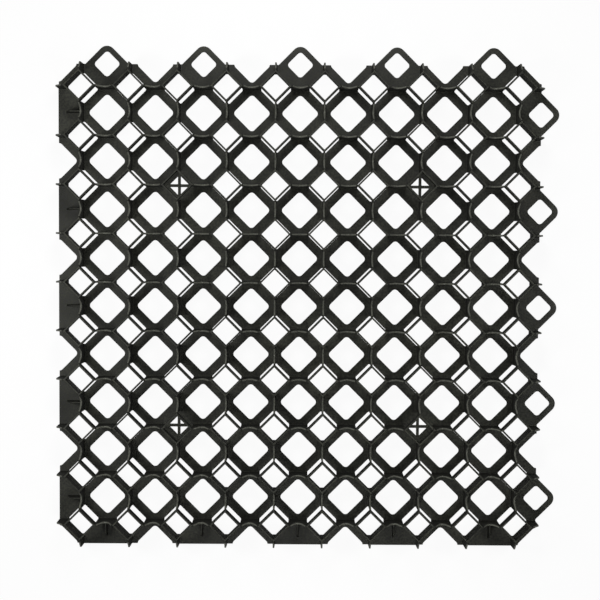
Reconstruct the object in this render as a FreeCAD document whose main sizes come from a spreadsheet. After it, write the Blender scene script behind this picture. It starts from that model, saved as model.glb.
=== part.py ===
# Grass paver grid, moulded in one piece: a lattice of octagon cells with small diamond cells between
# them, on a flat flange floor, with joining loops on two edges and joining plates on the other two.
# Units are millimetres. +Z points up, the underside lies on Z = 0 and the panel is centred on X and Y.
import FreeCAD, Part
import math
import os
import Sketcher
from FreeCAD import Vector

doc = FreeCAD.newDocument("paver_grid")

# Driving dimensions
SIZES = {
    "pitch": 50.0,
    "cell_rows": 10,
    "tall": 40.0,
    "floor_thick": 2.4,
    "hole_half": 14.07,
    "hole_reach": 18.1,
    "ring_inner": 9.84,
    "ring_outer": 11.54,
    "rail_bottom": 25.6,
    "wall_thick": 2.2,
    "scoop_low": 22.5,
    "scoop_flat": 2.4,
    "fin_end": 30.0,
    "loop_half": 15.8,
    "loop_round": 9.0,
    "eye_half": 10.0,
    "eye_round": 3.5,
    "plate_rise": 2.2,
    "lap_gap": 0.3,
    "gusset_foot": 8.0,
    "gusset_top": 13.5,
    "gusset_thick": 1.6,
    "web_half": 7.4,
    "web_thick": 3.0,
}

sheet = doc.addObject("Spreadsheet::Sheet", "sizes")
for row, (name, value) in enumerate(SIZES.items(), start=1):
    sheet.set("A%d" % row, name)
    sheet.set("B%d" % row, str(value))
    sheet.setAlias("B%d" % row, name)
doc.recompute()


# A size is a value with the formula that binds it to the sheet
def size(name):
    return (SIZES[name], "sizes." + name)


def plus(first, second, sign=1):
    return (first[0] + sign * second[0], "(%s %s %s)" % (first[1], "+" if sign > 0 else "-", second[1]))


def times(first, number):
    return (first[0] * number, "(%s * %r)" % (first[1], number))


ZERO = (0, "0")
OVER = (1.0, "1")
DIAGONAL = math.sqrt(2)
HALF_PITCH = times(size("pitch"), 0.5)
HALF_WALL = times(size("wall_thick"), 0.5)
PANEL_HALF = (SIZES["pitch"] * SIZES["cell_rows"] / 2, "(sizes.pitch * sizes.cell_rows / 2)")
LEG = plus(times(size("ring_outer"), DIAGONAL), HALF_WALL, -1)


# Bodies and sketches
def new_body(name):
    body = doc.addObject("PartDesign::Body", name)
    body.Label = name
    return body


def origin_of(body, role):
    for feature in body.Origin.OriginFeatures:
        if feature.Role == role:
            return feature


def new_sketch(body, name, plane="XY_Plane", x=ZERO, z=ZERO):
    sketch = body.newObject("Sketcher::SketchObject", body.Name + "_" + name)
    sketch.AttachmentSupport = [(origin_of(body, plane), "")]
    sketch.MapMode = "FlatFace"
    for axis, offset in (("x", x), ("z", z)):
        if offset != ZERO:
            sketch.setExpression(".AttachmentOffset.Base." + axis, offset[1])
    return sketch


def draw_polygon(sketch, corners):
    """Each corner is a pair of sizes, for the sketch's two axes."""
    points = [Vector(across[0], along[0], 0) for across, along in corners]
    lines = []
    for start, end in zip(points, points[1:] + points[:1]):
        lines.append(sketch.addGeometry(Part.LineSegment(start, end), False))
    for line, following in zip(lines, lines[1:] + lines[:1]):
        sketch.addConstraint(Sketcher.Constraint("Coincident", line, 2, following, 1))
    for line, corner in zip(lines, corners):
        for kind, axis, (value, formula) in zip(("DistanceX", "DistanceY"), (-2, -1), corner):
            if value == 0:
                sketch.addConstraint(Sketcher.Constraint("PointOnObject", line, 1, axis))
            else:
                index = sketch.addConstraint(Sketcher.Constraint(kind, -1, 1, line, 1, value))
                sketch.setExpression("Constraints[%d]" % index, formula)


def draw_rect(sketch, low_x, high_x, low_y, high_y):
    draw_polygon(sketch, [(low_x, low_y), (high_x, low_y), (high_x, high_y), (low_x, high_y)])


def draw_diamond(sketch, half):
    """A square on its corner; half is the distance from its centre to each side."""
    far = times(half, DIAGONAL)
    back = times(far, -1)
    draw_polygon(sketch, [(far, ZERO), (ZERO, far), (back, ZERO), (ZERO, back)])


def draw_blunt_diamond(sketch, half, reach):
    """A square on its corner with each corner cut straight; reach is from its centre to each cut."""
    near = plus(times(half, DIAGONAL), reach, -1)
    low, back = times(near, -1), times(reach, -1)
    corners = [(reach, low), (reach, near), (near, reach), (low, reach)]
    corners += [(back, near), (back, low), (low, back), (near, back)]
    draw_polygon(sketch, corners)


def add_arc(sketch, reach, rounding, turn):
    """A quarter round centred on one of the sketch's axes, with its radius bound."""
    centre = Vector(reach[0] * math.cos(turn), reach[0] * math.sin(turn), 0)
    circle = Part.Circle(centre, Vector(0, 0, 1), rounding[0])
    arc = sketch.addGeometry(Part.ArcOfCircle(circle, turn - math.pi / 4, turn + math.pi / 4), False)
    sign = round(math.cos(turn) + math.sin(turn))
    across = round(math.cos(turn)) != 0
    sketch.addConstraint(Sketcher.Constraint("PointOnObject", arc, 3, -1 if across else -2))
    place = Sketcher.Constraint("DistanceX" if across else "DistanceY", -1, 1, arc, 3, sign * reach[0])
    sketch.setExpression("Constraints[%d]" % sketch.addConstraint(place), times(reach, sign)[1])
    size_of = sketch.addConstraint(Sketcher.Constraint("Radius", arc, rounding[0]))
    sketch.setExpression("Constraints[%d]" % size_of, rounding[1])
    return arc


def add_tangent_line(sketch, start, end):
    line = sketch.addGeometry(Part.LineSegment(sketch.getPoint(*start), sketch.getPoint(*end)), False)
    sketch.addConstraint(Sketcher.Constraint("Tangent", start[0], start[1], line, 1))
    sketch.addConstraint(Sketcher.Constraint("Tangent", line, 2, end[0], end[1]))


def draw_round_diamond(sketch, half, rounding):
    """A square on its corner with four round corners."""
    reach = times(plus(half, rounding, -1), DIAGONAL)
    arcs = [add_arc(sketch, reach, rounding, quarter * math.pi / 2) for quarter in range(4)]
    for arc, following in zip(arcs, arcs[1:] + arcs[:1]):
        add_tangent_line(sketch, (arc, 2), (following, 1))


def draw_loop(sketch, half, rounding):
    """Half a square on its corner whose top is round, with its base on the X axis."""
    tip = add_arc(sketch, times(plus(half, rounding, -1), DIAGONAL), rounding, math.pi / 2)
    far = times(half, DIAGONAL)
    ends = []
    for tip_end, sign in ((1, 1), (2, -1)):
        foot = Vector(sign * far[0], 0, 0)
        line = sketch.addGeometry(Part.LineSegment(foot, sketch.getPoint(tip, tip_end)), False)
        sketch.addConstraint(Sketcher.Constraint("Tangent", line, 2, tip, tip_end))
        sketch.addConstraint(Sketcher.Constraint("PointOnObject", line, 1, -1))
        ends.append((line, foot))
    base = sketch.addGeometry(Part.LineSegment(ends[1][1], ends[0][1]), False)
    sketch.addConstraint(Sketcher.Constraint("Coincident", ends[1][0], 1, base, 1))
    sketch.addConstraint(Sketcher.Constraint("Coincident", ends[0][0], 1, base, 2))


# Features
def pad(sketch, thick):
    body = sketch.getParentGeoFeatureGroup()
    feature = body.newObject("PartDesign::Pad", sketch.Name + "_pad")
    feature.Profile = sketch
    feature.setExpression("Length", thick[1])
    return feature


def pad_both_ways(sketch, thick):
    pad(sketch, thick).SideType = "Symmetric"


def cut_both_ways(sketch, thick):
    body = sketch.getParentGeoFeatureGroup()
    feature = body.newObject("PartDesign::Pocket", sketch.Name + "_cut")
    feature.Profile = sketch
    feature.setExpression("Length", thick[1])
    feature.SideType = "Symmetric"
    return feature


# The pieces of the moulding
def make_floor():
    body = new_body("floor")
    sketch = new_sketch(body, "outline")
    draw_rect(sketch, times(PANEL_HALF, -1), PANEL_HALF, times(PANEL_HALF, -1), PANEL_HALF)
    pad(sketch, size("floor_thick"))
    return body


def make_wall():
    """A wall from ring to ring along X, with a scoop in its top edge."""
    body = new_body("wall")
    half, flat = plus(HALF_PITCH, LEG, -1), size("scoop_flat")
    sketch = new_sketch(body, "side", "XZ_Plane")
    outline = [(times(half, -1), size("floor_thick")), (half, size("floor_thick")), (half, size("tall"))]
    outline += [(flat, size("scoop_low")), (times(flat, -1), size("scoop_low")), (times(half, -1), size("tall"))]
    draw_polygon(sketch, outline)
    pad_both_ways(sketch, size("wall_thick"))
    return body


def make_fin():
    """The half wall from a ring to the panel's edge, which it meets at X = 0 from the -X side."""
    body = new_body("fin")
    start = plus(LEG, HALF_PITCH, -1)
    sketch = new_sketch(body, "side", "XZ_Plane")
    outline = [(start, size("floor_thick")), (ZERO, size("floor_thick"))]
    outline += [(ZERO, size("fin_end")), (start, size("tall"))]
    draw_polygon(sketch, outline)
    pad_both_ways(sketch, size("wall_thick"))
    return body


def make_ring(name, bottom):
    """The bar ring round a diamond cell, or its closed wall where the bottom is the floor."""
    body = new_body(name)
    sketch = new_sketch(body, "outline", z=bottom)
    draw_blunt_diamond(sketch, size("ring_outer"), LEG)
    pad(sketch, plus(size("tall"), bottom, -1))
    sketch = new_sketch(body, "inside", z=size("rail_bottom"))
    draw_diamond(sketch, size("ring_inner"))
    cut_both_ways(sketch, times(size("tall"), 2))
    return body


def make_loop():
    """A joining loop beyond the panel's edge, pointing to +Y."""
    body = new_body("loop")
    sketch = new_sketch(body, "outline")
    draw_loop(sketch, size("loop_half"), size("loop_round"))
    pad(sketch, size("floor_thick"))
    return body


def make_plate():
    """The top of a joining plate, raised so that the next panel's loop fits under it; it faces -Y."""
    body = new_body("plate")
    slant = plus(HALF_PITCH, times(size("ring_outer"), DIAGONAL), -1)
    outline = [(times(HALF_PITCH, -1), ZERO), (HALF_PITCH, ZERO), (HALF_PITCH, slant), (slant, HALF_PITCH)]
    outline += [(times(slant, -1), HALF_PITCH), (times(HALF_PITCH, -1), slant)]
    sketch = new_sketch(body, "outline", z=size("floor_thick"))
    draw_polygon(sketch, outline)
    pad(sketch, plus(size("lap_gap"), size("plate_rise")))
    return body


def make_gusset():
    """The upright rib on a plate, from the wall behind it out to a steep front end."""
    body = new_body("gusset")
    wall_face = plus(HALF_PITCH, HALF_WALL, -1)
    sketch = new_sketch(body, "side", "YZ_Plane")
    outline = [(size("gusset_foot"), size("floor_thick")), (wall_face, size("floor_thick"))]
    outline += [(wall_face, size("scoop_low")), (size("gusset_top"), size("scoop_low"))]
    draw_polygon(sketch, outline)
    pad_both_ways(sketch, size("gusset_thick"))
    return body


# What is cut out of it
def make_cutter(name, draw, *sizes):
    """An upright cutter that goes right through the floor."""
    body = new_body(name)
    sketch = new_sketch(body, "outline", z=times(OVER, -1))
    draw(sketch, *sizes)
    pad(sketch, plus(size("floor_thick"), times(OVER, 2)))
    return body


def make_web_opening():
    """The floor opening of a closed cell, which keeps a cross web."""
    body = make_cutter("web_opening", draw_diamond, size("web_half"))
    half_web = times(size("web_thick"), 0.5)
    for name, across, along in (("web_x", size("pitch"), half_web), ("web_y", half_web, size("pitch"))):
        sketch = new_sketch(body, name)
        draw_rect(sketch, times(across, -1), across, times(along, -1), along)
        cut_both_ways(sketch, size("pitch"))
    return body


def make_lap():
    """The room under a plate for the next panel's loop."""
    body = new_body("lap")
    sketch = new_sketch(body, "loop", z=times(OVER, -1))
    draw_loop(sketch, plus(size("loop_half"), size("lap_gap")), size("loop_round"))
    pad(sketch, plus(plus(size("floor_thick"), size("lap_gap")), OVER))
    return body


def copies(body, spots, turn=0):
    """Copies of a body's shape at each spot, turned about Z."""
    placed = []
    for x, y in spots:
        copy = body.Shape.copy()
        copy.Placement = FreeCAD.Placement(Vector(x, y, 0), FreeCAD.Rotation(Vector(0, 0, 1), turn))
        placed.append(copy)
    return placed


floor = make_floor()
wall = make_wall()
fin = make_fin()
ring = make_ring("ring", size("rail_bottom"))
closed_ring = make_ring("closed_ring", size("floor_thick"))
loop = make_loop()
plate = make_plate()
gusset = make_gusset()
opening = make_cutter("opening", draw_blunt_diamond, size("ring_outer"), LEG)
web_opening = make_web_opening()
hole = make_cutter("hole", draw_blunt_diamond, size("hole_half"), size("hole_reach"))
eye = make_cutter("eye", draw_round_diamond, size("eye_half"), size("eye_round"))
lap = make_lap()
doc.recompute()

# Where everything goes
count = int(sheet.cell_rows)
pitch = float(sheet.pitch)
edge = pitch * count / 2
lines = [pitch * (number + 0.5) - edge for number in range(count)]
borders = [pitch * number - edge for number in range(count + 1)]
joints = borders[1::2]
closed = [(x, y) for x in (-edge / 2, edge / 2) for y in (-edge / 2, edge / 2)]
cells = [(x, y) for x in lines for y in lines if (x, y) not in closed]
back, right = [(x, edge) for x in joints], [(edge, y) for y in joints]
front, left = [(x, -edge) for x in joints], [(-edge, y) for y in joints]
holes = [(x, y) for x in borders for y in borders if (x, y) not in back + right + front + left]

# The floor is cut to its openings, then everything that stands on it is joined to it
openings = copies(opening, cells) + copies(web_opening, closed) + copies(hole, holes) + copies(eye, back + right)
loops = copies(loop, back) + copies(loop, right, turn=-90)
base = floor.Shape.multiFuse(loops).cut(openings)
upper = copies(ring, cells) + copies(closed_ring, closed)
upper += copies(wall, [(x, y) for x in borders[1:-1] for y in lines])
upper += copies(wall, [(x, y) for x in lines for y in borders[1:-1]], turn=90)
upper += copies(fin, [(edge, y) for y in lines]) + copies(fin, [(x, edge) for x in lines], turn=90)
upper += copies(fin, [(-edge, y) for y in lines], turn=180) + copies(fin, [(x, -edge) for x in lines], turn=-90)
for body in (plate, gusset):
    upper += copies(body, front) + copies(body, left, turn=-90)
recesses = copies(lap, front) + copies(lap, left, turn=-90)
panel = doc.addObject("Part::Feature", "paver_grid")
panel.Label = "paver_grid"
panel.Shape = base.multiFuse(upper).cut(recesses)
loop_tip = "((sizes.loop_half - sizes.loop_round) * sqrt(2) + sizes.loop_round)"
panel.setExpression(".Placement.Base.x", "-%s / 2" % loop_tip)
panel.setExpression(".Placement.Base.y", "-%s / 2" % loop_tip)
doc.recompute()

# Check every object, then write the piece
if len(panel.Shape.Solids) != 1:
    raise RuntimeError("the panel is in %d solids" % len(panel.Shape.Solids))
os.makedirs("parts", exist_ok=True)
for item in doc.Objects:
    if "Invalid" in item.State or "Error" in item.State:
        raise RuntimeError("%s did not build: %s" % (item.Name, item.State))
    if item.isDerivedFrom("Part::Feature") and not item.isDerivedFrom("Sketcher::SketchObject"):
        if item.Shape.isNull() or not item.Shape.isValid():
            raise RuntimeError("%s has no valid shape" % item.Name)
panel.Shape.exportStep("parts/%s.step" % panel.Label)
print("faces", len(panel.Shape.Faces), "volume", round(panel.Shape.Volume), panel.Shape.BoundBox)
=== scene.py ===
# %% [markdown]
# # A grass paver grid
# The real thing is one moulding of dull black recycled plastic, half a metre square. A flat flange floor
# joins octagon cells, and small diamond cells stand between them. Each diamond cell is a bar ring on four
# legs, and thin walls with a deep scoop in their top edge run from ring to ring.
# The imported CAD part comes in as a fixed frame, and everything here is in its metres and its axes. One new
# mesh stands in its place, with the same plan and the finer forms that a camera sees.

import math

import bmesh
import bpy
from mathutils import Matrix, Vector


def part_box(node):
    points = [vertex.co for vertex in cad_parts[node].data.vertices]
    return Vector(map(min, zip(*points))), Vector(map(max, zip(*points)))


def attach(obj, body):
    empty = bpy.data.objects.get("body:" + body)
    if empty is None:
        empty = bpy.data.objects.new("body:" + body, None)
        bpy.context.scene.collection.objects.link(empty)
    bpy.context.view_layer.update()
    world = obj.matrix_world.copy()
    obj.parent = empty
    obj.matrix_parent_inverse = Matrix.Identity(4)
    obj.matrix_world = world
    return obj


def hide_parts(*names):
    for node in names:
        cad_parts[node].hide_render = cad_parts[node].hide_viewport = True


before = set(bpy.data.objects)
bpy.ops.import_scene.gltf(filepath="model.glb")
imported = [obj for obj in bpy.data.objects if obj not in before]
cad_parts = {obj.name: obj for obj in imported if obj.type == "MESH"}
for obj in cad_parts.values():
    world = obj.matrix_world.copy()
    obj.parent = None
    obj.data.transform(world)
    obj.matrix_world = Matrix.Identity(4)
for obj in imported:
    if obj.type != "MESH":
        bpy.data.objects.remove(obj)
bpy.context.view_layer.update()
MM = 0.001
low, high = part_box("paver_grid")
print("CAD box in mm:", [round(side / MM, 2) for side in high - low])

# %% [markdown]
# ## The sizes of the lattice
# The panel proper is ten cells square and starts at the low corner of the CAD box, and the loops stand out
# past it. The other sizes are named where they are first needed.

# %% Lattice sizes
CELLS = 10
PITCH = 50 * MM
SIDE = CELLS * PITCH
HALF = PITCH / 2
TALL = high.z - low.z
FLOOR = 2.4 * MM
TINY = 0.001 * MM
NEAR = 10 * TINY
CENTRE = Vector((low.x + SIDE / 2, low.y + SIDE / 2, low.z))
print("panel", round(SIDE / MM), "mm square, centred at", [round(c / MM, 2) for c in CENTRE])

# %% [markdown]
# ## Blocks and cuts
# The forms of the moulding are prisms. Most of them rise from a square that is turned to stand on its corner.
# A circle of four segments is that square, a bevel of its corners rounds or blunts it, and an extrusion
# raises it. The walls are boxes, and a scoop or a rib is an upright profile that is extruded sideways.


# %% Prisms
def extrude(mesh, way):
    """Turn flat faces into a closed prism along a vector."""
    raised = bmesh.ops.extrude_face_region(mesh, geom=mesh.faces[:])["geom"]
    corners = [item for item in raised if isinstance(item, bmesh.types.BMVert)]
    bmesh.ops.translate(mesh, verts=corners, vec=way)
    bmesh.ops.recalc_face_normals(mesh, faces=mesh.faces)


def diamond(half, bottom, top, corner=0.0, segments=1, at=(0, 0), tip=None):
    """A prism on a square that stands on its corner; half is from its centre to a side.

    All its corners are rounded or blunted, or only the one that points the way of the tip."""
    mesh = bmesh.new()
    bmesh.ops.create_circle(mesh, cap_ends=True, segments=4, radius=half * math.sqrt(2))
    if corner:
        chosen = [vertex for vertex in mesh.verts if tip is None or vertex.co.xy.dot(tip) > half]
        bmesh.ops.bevel(mesh, geom=chosen, affect="VERTICES", offset=corner, segments=segments, profile=0.5,
                        material=-1)
    bmesh.ops.translate(mesh, verts=mesh.verts, vec=(*at, bottom))
    extrude(mesh, (0, 0, top - bottom))
    return mesh


def block(size_x, size_y, bottom, top, at=(0, 0), taper=(1, 1)):
    """An upright box, whose top may be narrower."""
    mesh = bmesh.new()
    bmesh.ops.create_cube(mesh, size=1)
    crown = [vertex for vertex in mesh.verts if vertex.co.z > 0]
    bmesh.ops.scale(mesh, verts=crown, vec=(*taper, 1))
    bmesh.ops.scale(mesh, verts=mesh.verts, vec=(size_x, size_y, top - bottom))
    bmesh.ops.translate(mesh, verts=mesh.verts, vec=(*at, (top + bottom) / 2))
    return mesh


def upright(points, thick, at, way):
    """A profile that stands upright on a line of the plan, as thick as given; X points along the way."""
    mesh = bmesh.new()
    bmesh.ops.contextual_create(mesh, geom=[mesh.verts.new((x, -thick / 2, z)) for x, z in points])
    extrude(mesh, (0, thick, 0))
    turn = Matrix.Rotation(math.atan2(way[1], way[0]), 3, "Z")
    bmesh.ops.rotate(mesh, verts=mesh.verts, matrix=turn)
    bmesh.ops.translate(mesh, verts=mesh.verts, vec=(*at, 0))
    return mesh


# %% [markdown]
# The prisms are joined and cut by Boolean modifiers, as a mould maker adds and removes metal. The manifold
# solver is the quick one. It needs closed meshes, and a prism is closed.


# %% Joining and cutting
def to_object(mesh, name):
    """Put a bmesh into the scene as an object at the origin."""
    data = bpy.data.meshes.new(name)
    mesh.to_mesh(data)
    mesh.free()
    piece = bpy.data.objects.new(name, data)
    bpy.context.scene.collection.objects.link(piece)
    return piece


def together(meshes):
    """Several bmeshes in one, which must not touch one another."""
    whole = bmesh.new()
    for mesh in meshes:
        data = bpy.data.meshes.new("part")
        mesh.to_mesh(data)
        mesh.free()
        whole.from_mesh(data)
        bpy.data.meshes.remove(data)
    return whole


def apply_boolean(piece, mesh, operation):
    """Join or cut a piece by a closed mesh, and keep the result as its mesh."""
    tool = to_object(mesh, "tool")
    modifier = piece.modifiers.new(operation, "BOOLEAN")
    modifier.object = tool
    modifier.operation = operation
    modifier.solver = "MANIFOLD"
    shape = bpy.data.meshes.new_from_object(piece.evaluated_get(bpy.context.evaluated_depsgraph_get()))
    piece.modifiers.clear()
    piece.data = shape
    bpy.data.objects.remove(tool)


# %% [markdown]
# ## Holes, loops and plates
# The panel is built from square cells of floor, each with a diamond ring in its middle. A cell takes a
# quarter of what lies at each of its corners. Most corners are a rounded hole. Every second one on an edge
# is a joint with the next panel: a loop on the back and right edges, and on the front and left edges a plate,
# raised so that the next panel's loop fits under it. An upright rib braces each plate against the wall.

# %% Corners of a cell
HOLE = 14.07 * MM
HOLE_ROUND = 3.9 * MM
LOOP = 15.8 * MM
LOOP_ROUND = 9 * MM
EYE = 10 * MM
EYE_ROUND = 3.5 * MM
HOLE_STEPS = 5
LOOP_STEPS = 8
LAP_GAP = 0.3 * MM
PLATE = 2.2 * MM
PLATE_TOP = FLOOR + LAP_GAP + PLATE
GUSSET_FOOT = 8 * MM
GUSSET_TOP = 13.5 * MM
GUSSET_TALL = 21.5 * MM
GUSSET = 1.6 * MM
CORNERS = ((-1, -1), (-1, 1), (1, -1), (1, 1))


def corner_kind(column, row):
    """What lies at a corner of the lattice, and which way it faces."""
    if row == CELLS and column % 2:
        return "loop", (0, 1)
    if column == CELLS and row % 2:
        return "loop", (1, 0)
    if row == 0 and column % 2:
        return "plate", (0, -1)
    if column == 0 and row % 2:
        return "plate", (-1, 0)
    return "hole", None


def gusset_profile():
    """An upright rib on a plate, from the wall behind it out to a steep front end."""
    foot = (FLOOR + PLATE_TOP) / 2
    return [(-HALF, foot), (-GUSSET_FOOT, foot), (-GUSSET_TOP, GUSSET_TALL), (-HALF, GUSSET_TALL)]


def add_corners(piece, corners):
    """Join a cell's loops, plates and ribs to its floor, and cut its holes, eyes and recesses."""
    cuts, ribs = [], []
    for (across, along), (kind, facing) in zip(CORNERS, corners):
        at = (across * HALF, along * HALF)
        if kind == "hole":
            cuts.append(diamond(HOLE, -FLOOR, 2 * FLOOR, HOLE_ROUND, HOLE_STEPS, at=at))
        if kind == "loop":
            loop = diamond(LOOP, 0, FLOOR, LOOP_ROUND, LOOP_STEPS, at=at, tip=Vector(facing))
            apply_boolean(piece, loop, "UNION")
            cuts.append(diamond(EYE, -FLOOR, 2 * FLOOR, EYE_ROUND, HOLE_STEPS, at=at))
        if kind == "plate":
            apply_boolean(piece, block(HALF, HALF, 0, PLATE_TOP, at=(at[0] / 2, at[1] / 2)), "UNION")
            inward = -Vector(facing)
            cuts.append(diamond(LOOP + LAP_GAP, -FLOOR, FLOOR + LAP_GAP, LOOP_ROUND, LOOP_STEPS, at=at,
                                tip=inward))
            ribs.append(upright(gusset_profile(), GUSSET, at, facing))
    apply_boolean(piece, together(cuts), "DIFFERENCE")
    if ribs:
        apply_boolean(piece, together(ribs), "UNION")


# %% [markdown]
# ## Walls
# Two walls cross in each cell and run on into the next ones. They are a little thinner at the top, so that
# the moulding leaves its mould. Between two rings the top edge dips in a deep scoop, which lets the soil of
# one octagon cell join the next. At the panel's edge it falls straight to a small fin.

# %% Walls
WALL = 2.2 * MM
WALL_TOP = 1.5 * MM
SCOOP_LOW = 22.5 * MM
SCOOP_HALF = 8.3 * MM
SCOOP_STEPS = 5
FIN_END = 27 * MM
RISE = TALL - SCOOP_LOW
STEEP = math.atan(2 * RISE / SCOOP_HALF)
ABOVE = TALL + FLOOR
SIDES = ((-1, 0), (1, 0), (0, -1), (0, 1))


def scoop_profile():
    """A parabola from ring to ring, with a point wherever its slope has turned by one more step."""
    turns = [STEEP * step / SCOOP_STEPS for step in range(-SCOOP_STEPS, SCOOP_STEPS + 1)]
    shares = [math.tan(turn) / math.tan(STEEP) for turn in turns]
    points = [(SCOOP_HALF * share, SCOOP_LOW + RISE * share ** 2) for share in shares]
    return points + [(SCOOP_HALF, ABOVE), (-SCOOP_HALF, ABOVE)]


def fin_profile():
    """A straight fall to the panel's edge."""
    return [(-SCOOP_HALF, TALL), (0, FIN_END), (FLOOR, FIN_END), (FLOOR, ABOVE), (-SCOOP_HALF, ABOVE)]


def add_walls(piece, ends):
    """Join two crossing walls to a cell, and cut their top edge on all four sides."""
    thinner = WALL_TOP / WALL
    apply_boolean(piece, block(PITCH, WALL, 0, TALL, taper=(1, thinner)), "UNION")
    apply_boolean(piece, block(WALL, PITCH, 0, TALL, taper=(thinner, 1)), "UNION")
    dips = []
    for way, is_end in zip(SIDES, ends):
        profile = fin_profile() if is_end else scoop_profile()
        dips.append(upright(profile, 4 * WALL, (way[0] * HALF, way[1] * HALF), way))
    apply_boolean(piece, together(dips), "DIFFERENCE")


# %% [markdown]
# ## Rings
# The middle of a cell is opened from the ground up to the ring. The corners of that opening are blunt, which
# leaves the ends of the walls standing as legs. The ring is joined on above it, and bored. In four cells the
# floor runs on inside, and only a smaller opening with a cross of webs goes through it.

# %% Rings, legs and webs
RING_IN = 9.84 * MM
RING_OUT = 11.54 * MM
RAIL = 25.6 * MM
OPENING = 12.1 * MM
LEG = RING_OUT * math.sqrt(2) - WALL / 2
WEB = 3.0 * MM
WEB_HALF = 7.8 * MM


def add_ring(piece, closed):
    """Open the middle of a cell, and set the ring over it."""
    blunt = (OPENING * math.sqrt(2) - LEG) * math.sqrt(2)
    bottom = FLOOR if closed else -FLOOR
    apply_boolean(piece, diamond(OPENING, bottom, RAIL, blunt), "DIFFERENCE")
    apply_boolean(piece, diamond(RING_OUT, RAIL, TALL), "UNION")
    apply_boolean(piece, diamond(RING_IN, bottom, 2 * TALL), "DIFFERENCE")
    if closed:
        apply_boolean(piece, diamond(WEB_HALF, -FLOOR, 2 * FLOOR), "DIFFERENCE")
        apply_boolean(piece, block(2 * RING_OUT, WEB, 0, FLOOR), "UNION")
        apply_boolean(piece, block(WEB, 2 * RING_OUT, 0, FLOOR), "UNION")


# %% [markdown]
# ## One lattice cell
# Now a cell is put together. Loops and plates reach into the next cells, which make their own share of them,
# so a cell that has one is trimmed to its square. Past the panel's edge the loop stays.


# %% One lattice cell
def make_cell(corners, ends, closed):
    """Corners are the kinds in the order of CORNERS, and ends tells which sides are the panel's edge."""
    piece = to_object(block(PITCH, PITCH, 0, FLOOR), "cell")
    add_corners(piece, corners)
    add_walls(piece, ends)
    add_ring(piece, closed)
    if any(kind != "hole" for kind, facing in corners):
        low_x, high_x, low_y, high_y = [HALF + is_end * 2 * LOOP for is_end in ends]
        middle = ((high_x - low_x) / 2, (high_y - low_y) / 2)
        apply_boolean(piece, block(low_x + high_x, low_y + high_y, -FLOOR, ABOVE, at=middle), "INTERSECT")
    return piece


# %% [markdown]
# No moulded edge is sharp, so each kind of cell gets a fine bevel before it is copied. The faces are first
# split along the cell's own lines of symmetry, which leaves simple faces with no holes in them. The sides
# that meet the next cell stay square, and their faces are removed.

# %% Round a cell's edges
EDGE_ROUND = 0.3 * MM
FLAT_ANGLE = math.radians(0.2)
SHARP_ANGLE = math.radians(30)
SYMMETRY = ((1, 0), (0, 1), (1, 1), (1, -1))


def on_sides(item, ends):
    """Whether all corners of an edge or face lie on one side of the cell that meets another cell."""
    for (across, along), is_end in zip(SIDES, ends):
        if not is_end and all(abs(corner.co.x * across + corner.co.y * along - HALF) < NEAR
                              for corner in item.verts):
            return True
    return False


def on_lines(edge):
    """Whether an edge lies in one of the cell's planes of symmetry."""
    first, second = (corner.co for corner in edge.verts)
    for x, y in SYMMETRY:
        if max(abs(first.x * x + first.y * y), abs(second.x * x + second.y * y)) < NEAR:
            return True
    return False


def round_cell(piece, ends):
    """Bevel a cell's edges, open its sides to the next cells and return how many edges were rounded."""
    mesh = bmesh.new()
    mesh.from_mesh(piece.data)
    bmesh.ops.remove_doubles(mesh, verts=mesh.verts, dist=TINY)
    for x, y in SYMMETRY:
        everything = mesh.verts[:] + mesh.edges[:] + mesh.faces[:]
        bmesh.ops.bisect_plane(mesh, geom=everything, dist=TINY, plane_co=(0, 0, 0), plane_no=(x, y, 0))
    flat = [edge for edge in mesh.edges if edge.calc_face_angle(1) < FLAT_ANGLE and not on_lines(edge)]
    bmesh.ops.dissolve_edges(mesh, edges=flat, use_verts=True)
    sharp = [edge for edge in mesh.edges if edge.calc_face_angle(0) > SHARP_ANGLE]
    sharp = [edge for edge in sharp if not on_sides(edge, ends)]
    bmesh.ops.bevel(mesh, geom=sharp, affect="EDGES", offset=EDGE_ROUND, segments=1, profile=0.5, material=-1,
                    clamp_overlap=False, loop_slide=True)
    bmesh.ops.delete(mesh, geom=[face for face in mesh.faces if on_sides(face, ends)], context="FACES")
    mesh.to_mesh(piece.data)
    mesh.free()
    return len(sharp)


# %% [markdown]
# ## The lattice
# A hundred cells are set side by side. They are of fourteen kinds, so each kind is made once and copied.

# %% Set the cells side by side
CLOSED_LINES = (2, 7)
kinds = {}
lattice = bmesh.new()
for column in range(CELLS):
    for row in range(CELLS):
        corners = tuple(corner_kind(column + (x + 1) // 2, row + (y + 1) // 2) for x, y in CORNERS)
        ends = (column == 0, column == CELLS - 1, row == 0, row == CELLS - 1)
        closed = column in CLOSED_LINES and row in CLOSED_LINES
        if (corners, ends, closed) not in kinds:
            cell = make_cell(corners, ends, closed)
            rounded = round_cell(cell, ends)
            print("cell kind", len(kinds) + 1, "-", rounded, "edges,", len(cell.data.polygons), "faces")
            kinds[corners, ends, closed] = cell
        shape = kinds[corners, ends, closed].data.copy()
        place_at = ((column + 0.5) * PITCH - SIDE / 2, (row + 0.5) * PITCH - SIDE / 2, 0)
        shape.transform(Matrix.Translation(place_at))
        lattice.from_mesh(shape)
        bpy.data.meshes.remove(shape)
for cell in kinds.values():
    bpy.data.objects.remove(cell)
print(len(kinds), "kinds of cell,", len(lattice.faces), "faces")

# %% [markdown]
# The corners where two cells meet are merged, so the panel becomes one closed shell. A weighted normal keeps
# the big faces flat and lets only the fine bevels shade round. The shell replaces the CAD node's mesh.

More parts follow.
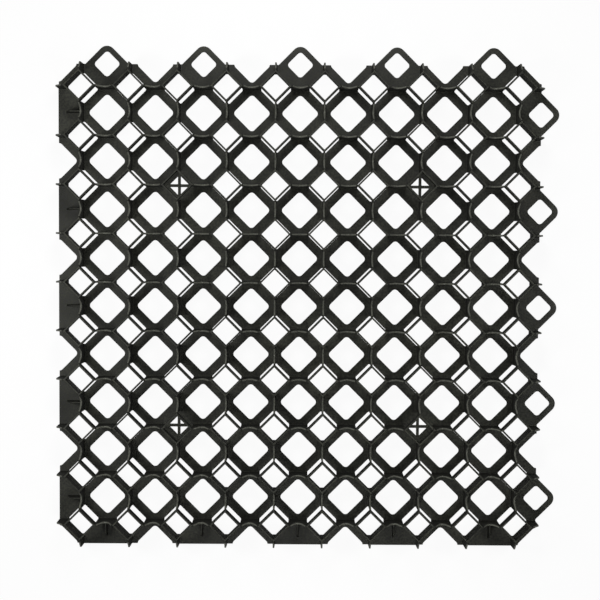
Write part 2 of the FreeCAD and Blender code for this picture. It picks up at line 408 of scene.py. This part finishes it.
# %% One shell
bmesh.ops.remove_doubles(lattice, verts=lattice.verts, dist=NEAR)
bmesh.ops.triangulate(lattice, faces=lattice.faces)
bmesh.ops.translate(lattice, verts=lattice.verts, vec=CENTRE)
for face in lattice.faces:
    face.smooth = True
loose = sum(1 for edge in lattice.edges if not edge.is_manifold)
print("lattice", len(lattice.faces), "triangles,", loose, "open edges")
panel = to_object(lattice, "paver_grid_visual")
weighted = panel.modifiers.new("weighted", "WEIGHTED_NORMAL")
weighted.weight = 100
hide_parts("paver_grid")
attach(panel, "root")

# %% [markdown]
# ## The plastic
# Black recycled plastic is never quite black. It is a dull grey with a warm cast that shifts a little from
# place to place, and the mould left a fine grain on it. Noise textures on Object coordinates give all of
# this at real sizes. Noise keeps mostly near one half, so a ramp stretches its middle where it is used. A
# small class keeps the node code as short as a recipe.


# %% Node helpers
class Graph:
    """A material whose nodes are added with their inputs in one call."""

    def __init__(self, name):
        self.material = bpy.data.materials.new(name)
        self.material.use_nodes = True
        self.nodes = self.material.node_tree.nodes
        self.links = self.material.node_tree.links
        self.shader = self.nodes["Principled BSDF"]

    def add(self, kind, settings=None, **inputs):
        """Add a node. An input is given by its name, or as n and its number where names repeat."""
        node = self.nodes.new("ShaderNode" + kind)
        for name, value in (settings or {}).items():
            setattr(node, name, value)
        for name, value in inputs.items():
            self.feed(node, name.replace("_", " "), value)
        return node

    def feed(self, node, name, value):
        """Set an input, or link it where the value is another node's output."""
        socket = node.inputs[int(name[1:]) if name[0] == "n" and name[1:].isdigit() else name]
        if isinstance(value, bpy.types.NodeSocket):
            self.links.new(value, socket)
        else:
            socket.default_value = value

    def noise(self, where, scale, detail=2.0):
        """A noise texture, whose scale is in bumps to a metre."""
        node = self.add("TexNoise", Vector=where, Scale=scale, Detail=detail)
        return node.outputs["Fac"]

    def ramp(self, value, start, end, low_value=0.0, high_value=1.0):
        """A smooth change from a low value to a high one, while the input goes from start to end."""
        node = self.add("MapRange", {"interpolation_type": "SMOOTHSTEP"}, Value=value)
        node.inputs["From Min"].default_value = start
        node.inputs["From Max"].default_value = end
        node.inputs["To Min"].default_value = low_value
        node.inputs["To Max"].default_value = high_value
        return node.outputs["Result"]

    def maths(self, operation, first, second):
        """A sum, a product or the like of two values."""
        return self.add("Math", {"operation": operation}, n0=first, n1=second).outputs["Value"]

    def mix(self, share, first, second, blend="MIX"):
        """A blend of two colours."""
        node = self.add("Mix", {"data_type": "RGBA", "blend_type": blend})
        for index, value in ((0, share), (6, first), (7, second)):
            self.feed(node, "n%d" % index, value)
        return node.outputs[2]


# %% [markdown]
# The colour drifts between two dull greys over a hand's width, and a fine mottle of about two millimetres
# breaks it up. Faces that stand upright are painted darker, a painted shade on the sides of the walls.

# %% Colour of the moulding
DARK = (0.0135, 0.0141, 0.0098, 1)
LIGHT = (0.0245, 0.0254, 0.0178, 1)
# A darker colour for upright faces: painted shade on the wall sides.
UPRIGHT_PAINTED_SHADE = (0.0130, 0.0134, 0.0100, 1)
CLOUD_SCALE = 9
MOTTLE_SCALE = 420
plastic = Graph("black_recycled_plastic")
place = plastic.add("TexCoord")
where = place.outputs["Object"]
clouds = plastic.noise(where, CLOUD_SCALE, 3)
mottle = plastic.noise(where, MOTTLE_SCALE, 4)
tone = plastic.mix(plastic.ramp(clouds, start=0.35, end=0.65), DARK, LIGHT)
speckle = plastic.ramp(mottle, start=0.35, end=0.65, low_value=0.55, high_value=1.5)
tone = plastic.mix(1.0, tone, speckle, "MULTIPLY")
facing = plastic.add("SeparateXYZ", Vector=place.outputs["Normal"]).outputs["Z"]
# Upright faces blend to the darker colour, a painted shade on the sides of the walls.
tone = plastic.mix(plastic.ramp(facing, start=0.3, end=0.9), UPRIGHT_PAINTED_SHADE, tone)
print("the mottle measures about", round(1 / (MOTTLE_SCALE * MM), 1), "mm")

# %% [markdown]
# The scoops along the wall tops are painted much paler, a painted highlight where light catches them, and
# they are also smoother, with fine scratches along both directions of the lattice that streak the highlight.
# A mask finds them by their height above the ground and by how far they face up. It leaves out upright faces,
# and the slopes of a scoop get more of it than its level bottom.

# %% Painted highlight on the scoops
# A much paler colour: a painted highlight along the scoops of the wall tops.
PAINTED_HIGHLIGHT_COLOUR = (0.210, 0.214, 0.180, 1)
SCRATCH_FINE = 2600
SCRATCH_LONG = 260
HIGHLIGHT_LOW = (SCOOP_LOW - MM, SCOOP_LOW - 0.3 * MM)
HIGHLIGHT_HIGH = (TALL - MM, TALL - 3 * MM)
along = plastic.add("Mapping", Vector=where, Scale=(SCRATCH_FINE, SCRATCH_LONG, SCRATCH_LONG))
across = plastic.add("Mapping", Vector=where, Scale=(SCRATCH_LONG, SCRATCH_FINE, SCRATCH_LONG))
scratches = plastic.maths("MAXIMUM", plastic.noise(along.outputs["Vector"], 1, 1),
                          plastic.noise(across.outputs["Vector"], 1, 1))
height = plastic.add("SeparateXYZ", Vector=where).outputs["Z"]
over_floor = plastic.ramp(height, *HIGHLIGHT_LOW)
under_rings = plastic.ramp(height, *HIGHLIGHT_HIGH)
not_upright = plastic.ramp(facing, start=0.05, end=0.2)
less_if_level = plastic.ramp(facing, start=0.3, end=1.0, low_value=1.0, high_value=0.6)
scratched = plastic.ramp(scratches, start=0.45, end=0.75, low_value=0.6, high_value=1.0)
painted_highlight = plastic.maths("MULTIPLY", over_floor, under_rings)
for share in (not_upright, less_if_level, scratched):
    painted_highlight = plastic.maths("MULTIPLY", painted_highlight, share)
# Where the mask is, the base colour turns to the paler colour, a painted highlight on the scoops.
plastic.feed(plastic.shader, "Base Color", plastic.mix(painted_highlight, tone, PAINTED_HIGHLIGHT_COLOUR))
print("rubbed from", round(HIGHLIGHT_LOW[1] / MM, 1), "mm up to", round(HIGHLIGHT_HIGH[1] / MM, 1), "mm")

# %% [markdown]
# The skin is dull, and duller in some specks of the mottle than in others. Its grain and the scratches are
# only a tenth of a millimetre deep, so they are bump.

# %% Gloss and grain
SMOOTHER = 0.5
DULLER = 0.66
HIGHLIGHT_GLOSS = 0.16
SHEEN = 0.3
GRAIN_SCALE = 1700
GRAIN_DEPTH = 0.12 * MM
GRAIN_STRENGTH = 0.35
roughness = plastic.ramp(mottle, start=0.3, end=0.7, low_value=SMOOTHER, high_value=DULLER)
roughness = plastic.maths("SUBTRACT", roughness, plastic.maths("MULTIPLY", painted_highlight, HIGHLIGHT_GLOSS))
plastic.feed(plastic.shader, "Roughness", roughness)
plastic.feed(plastic.shader, "Specular IOR Level", SHEEN)
grain = plastic.noise(where, GRAIN_SCALE, 2)
relief = plastic.maths("ADD", grain, plastic.maths("MULTIPLY", scratches, painted_highlight))
bump = plastic.add("Bump", Height=relief, Strength=GRAIN_STRENGTH, Distance=GRAIN_DEPTH)
plastic.feed(plastic.shader, "Normal", bump.outputs["Normal"])
panel.data.materials.clear()
panel.data.materials.append(plastic.material)
print("plastic has", len(plastic.nodes), "nodes")

# %% [markdown]
# ## Floor, light and camera
# The panel lies on a plain white floor. The camera sees most of the floor's white as its own glow, so that
# it stays even, and a share of it is lit, so that the panel's shadow shows. Only camera rays find the white,
# since nothing here is metal or glass that would mirror it. All other rays find a grey floor, which throws
# little light back up, so the sides of the walls stay dark.

# %% Floor
GLOW_SHARE = 0.925
SEEN_WHITE = (0.9, 0.9, 0.9, 1)
UNSEEN_GREY = (0.25, 0.25, 0.25, 1)
FLOOR_REACH = 6
FLOOR_ROUGH = 0.9
ground = bmesh.new()
bmesh.ops.create_grid(ground, x_segments=1, y_segments=1, size=FLOOR_REACH)
bmesh.ops.translate(ground, verts=ground.verts, vec=(0, 0, low.z))
floor = to_object(ground, "floor")
white = Graph("white_floor")
seen = white.add("LightPath").outputs["Is Camera Ray"]
white.feed(white.shader, "Base Color", white.mix(seen, UNSEEN_GREY, SEEN_WHITE))
white.feed(white.shader, "Roughness", FLOOR_ROUGH)
white.feed(white.shader, "Specular IOR Level", 0.0)
glow = white.add("Emission", Color=(1, 1, 1, 1), Strength=1.0)
glow_share = white.maths("MULTIPLY", seen, GLOW_SHARE)
surface = white.add("MixShader", n0=glow_share, n1=white.shader.outputs["BSDF"], n2=glow.outputs["Emission"])
white.links.new(surface.outputs["Shader"], white.nodes["Material Output"].inputs["Surface"])
floor.data.materials.append(white.material)
print("floor", 2 * FLOOR_REACH, "m square")

# %% [markdown]
# From above its middle, the camera sees those sides of the walls that face the panel's middle. Four lights
# hang round the panel, higher than it, so these sides look away from the nearest light and stay dark. The
# lights on the left and at the back are the stronger. The sky is weak, but camera rays find it white.

# %% Light
SKY = 0.12
SKY_SEEN = 0.95
LIGHT_AWAY = 0.45
LIGHT_HIGH = 0.56
LIGHT_SIZE = 0.25
LEFT_POWER = 2.1
RIGHT_POWER = 1.2
LIGHTS = (("left", 180, LEFT_POWER), ("back", 90, LEFT_POWER),
          ("right", 0, RIGHT_POWER), ("front", 270, RIGHT_POWER))
world = bpy.data.worlds.new("studio")
bpy.context.scene.world = world
world.use_nodes = True
sky = world.node_tree.nodes["Background"]
sky.inputs["Color"].default_value = (1, 1, 1, 1)
ray = world.node_tree.nodes.new("ShaderNodeLightPath")
strength = world.node_tree.nodes.new("ShaderNodeMapRange")
strength.inputs["To Min"].default_value = SKY
strength.inputs["To Max"].default_value = SKY_SEEN
world.node_tree.links.new(ray.outputs["Is Camera Ray"], strength.inputs["Value"])
world.node_tree.links.new(strength.outputs["Result"], sky.inputs["Strength"])


def area_light(name, place_at, power):
    """A square light that is aimed at the panel's centre."""
    data = bpy.data.lights.new(name, "AREA")
    data.size = LIGHT_SIZE
    data.energy = power
    lamp = bpy.data.objects.new(name, data)
    lamp.location = place_at
    lamp.rotation_euler = (CENTRE - place_at).to_track_quat("-Z", "Y").to_euler()
    bpy.context.scene.collection.objects.link(lamp)


for side, degrees, power in LIGHTS:
    turn = math.radians(degrees)
    away = Vector((math.cos(turn), math.sin(turn), 0)) * LIGHT_AWAY
    area_light(side, CENTRE + away + Vector((0, 0, LIGHT_HIGH)), power)
    print("light", side, "of", power, "W")

# %% [markdown]
# The camera hangs 1.74 metres above the ground, close enough for the tops of the outer walls to lean outward
# against the floor. Its place, its turn of a few degrees and the shift of its lens were fitted together to
# where the cells of the real panel lie in its picture.

# %% Camera
FRAME_PIXELS = 600
SENSOR = 36
FOCAL_PIXELS = 1667.7
SHIFT_PIXELS = 47.6
CAMERA_PLACE = Vector((0, 64 * MM, 1742 * MM))
CAMERA_TURN = (-0.06134, -0.00038, 0.00596)
lens = bpy.data.cameras.new("camera")
lens.sensor_width = SENSOR
lens.lens = FOCAL_PIXELS / FRAME_PIXELS * SENSOR
lens.shift_y = SHIFT_PIXELS / FRAME_PIXELS
camera = bpy.data.objects.new("camera", lens)
camera.location = CENTRE + CAMERA_PLACE
camera.rotation_euler = CAMERA_TURN
bpy.context.scene.collection.objects.link(camera)
bpy.context.scene.camera = camera
bpy.context.scene.view_settings.view_transform = "Standard"
print("lens of", round(lens.lens, 1), "mm")
